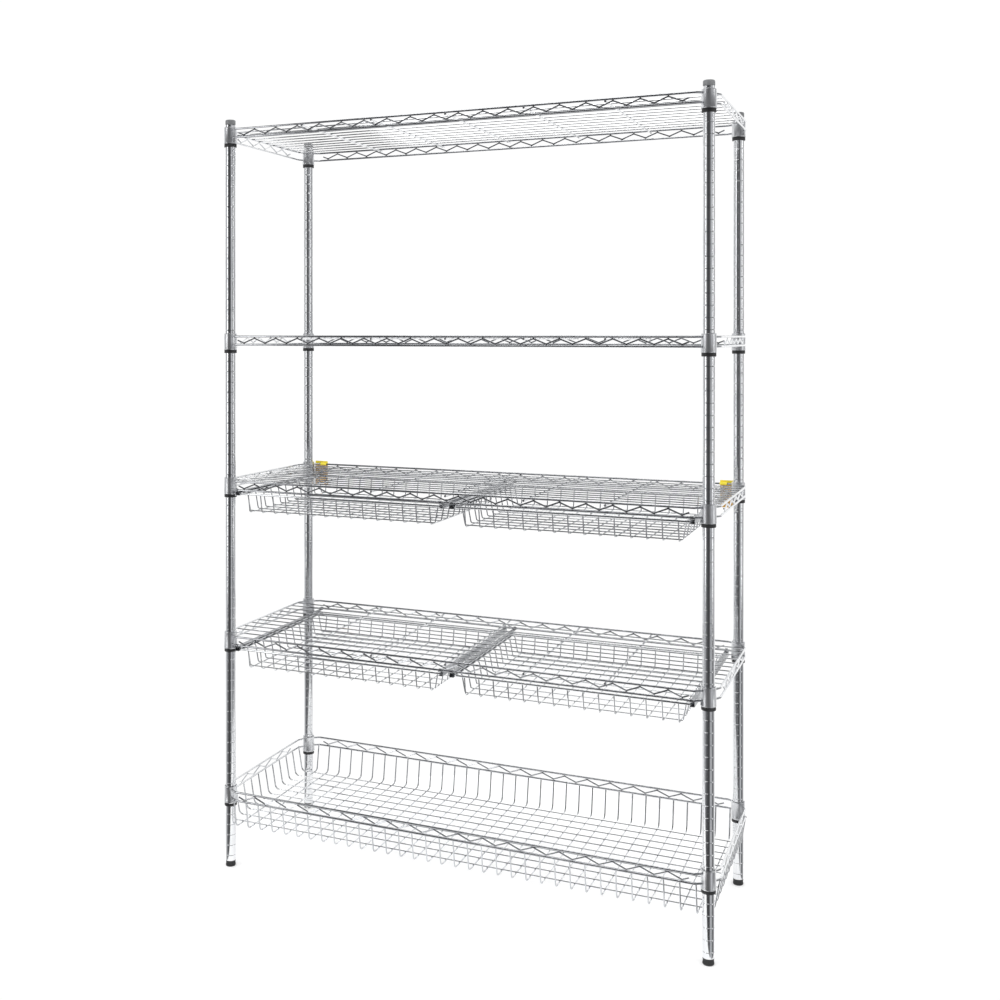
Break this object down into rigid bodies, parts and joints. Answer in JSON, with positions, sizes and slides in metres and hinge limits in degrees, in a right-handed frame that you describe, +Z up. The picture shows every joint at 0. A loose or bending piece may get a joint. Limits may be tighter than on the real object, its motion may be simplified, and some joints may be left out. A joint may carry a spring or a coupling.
{
  "type": "wire shelving rack",
  "caption": "Free-standing chrome wire rack with grooved posts, wire shelves, pull-out wire baskets in channel runners and a basket as its lowest level.",
  "frame": {"origin": "on the floor, under the middle of the four posts", "axes": "+X to the right of a person who faces the rack, +Y to the back, +Z up"},
  "size_m": [1.211, 0.452, 1.843],
  "materials": {
    "post_chrome": "polished",
    "wire_chrome": "polished",
    "black_plastic": "matte",
    "grey_plastic": "satin",
    "yellow_plastic": "gloss"
  },
  "bodies": {
    "rack": {"basket_floor_bottom": "wire_chrome", "collars_bottom": "wire_chrome", "collars_lower": "wire_chrome", "collars_middle": "wire_chrome", "collars_top": "wire_chrome", "collars_upper": "wire_chrome", "deck_lower": "wire_chrome", "deck_middle": "wire_chrome", "deck_top": "wire_chrome", "deck_upper": "wire_chrome", "foot_plugs": "black_plastic", "frame_front_bottom": "wire_chrome", "frame_front_lower": "wire_chrome", "frame_front_middle": "wire_chrome", "frame_front_top": "wire_chrome", "frame_front_upper": "wire_chrome", "frame_left_bottom": "wire_chrome", "frame_left_lower": "wire_chrome", "frame_left_middle": "wire_chrome", "frame_left_top": "wire_chrome", "frame_left_upper": "wire_chrome", "frame_rear_bottom": "wire_chrome", "frame_rear_lower": "wire_chrome", "frame_rear_middle": "wire_chrome", "frame_rear_top": "wire_chrome", "frame_rear_upper": "wire_chrome", "frame_right_bottom": "wire_chrome", "frame_right_lower": "wire_chrome", "frame_right_middle": "wire_chrome", "frame_right_top": "wire_chrome", "frame_right_upper": "wire_chrome", "label_holders": "yellow_plastic", "post_caps": "grey_plastic", "post_front_left": "post_chrome", "post_front_right": "post_chrome", "post_rear_left": "post_chrome", "post_rear_right": "post_chrome", "runners_lower_left": "wire_chrome", "runners_lower_right": "wire_chrome", "runners_middle_left": "wire_chrome", "runners_middle_right": "wire_chrome", "sleeves_bottom": "black_plastic", "sleeves_lower": "black_plastic", "sleeves_middle": "black_plastic", "sleeves_top": "black_plastic", "sleeves_upper": "black_plastic"},
    "foot_front_left": {"foot_front_left": "black_plastic"},
    "foot_front_right": {"foot_front_right": "black_plastic"},
    "foot_rear_left": {"foot_rear_left": "black_plastic"},
    "foot_rear_right": {"foot_rear_right": "black_plastic"},
    "basket_middle_left": {"basket_middle_left": "wire_chrome"},
    "basket_middle_right": {"basket_middle_right": "wire_chrome"},
    "basket_lower_left": {"basket_lower_left": "wire_chrome"},
    "basket_lower_right": {"basket_lower_right": "wire_chrome"}
  },
  "joints": [
    {"name": "basket_middle_left_slide", "type": "slide", "parent": "rack", "child": "basket_middle_left", "axis": [0, -1, 0], "range_m": [0, 0.33]},
    {"name": "basket_middle_right_slide", "type": "slide", "parent": "rack", "child": "basket_middle_right", "axis": [0, -1, 0], "range_m": [0, 0.33]},
    {"name": "basket_lower_left_slide", "type": "slide", "parent": "rack", "child": "basket_lower_left", "axis": [0, -1, 0], "range_m": [0, 0.33]},
    {"name": "basket_lower_right_slide", "type": "slide", "parent": "rack", "child": "basket_lower_right", "axis": [0, -1, 0], "range_m": [0, 0.33]},
    {"name": "foot_front_left_screw", "type": "slide", "parent": "rack", "child": "foot_front_left", "axis": [0, 0, -1], "range_m": [0, 0.012]},
    {"name": "foot_front_right_screw", "type": "slide", "parent": "rack", "child": "foot_front_right", "axis": [0, 0, -1], "range_m": [0, 0.012]},
    {"name": "foot_rear_left_screw", "type": "slide", "parent": "rack", "child": "foot_rear_left", "axis": [0, 0, -1], "range_m": [0, 0.012]},
    {"name": "foot_rear_right_screw", "type": "slide", "parent": "rack", "child": "foot_rear_right", "axis": [0, 0, -1], "range_m": [0, 0.012]}
  ]
}
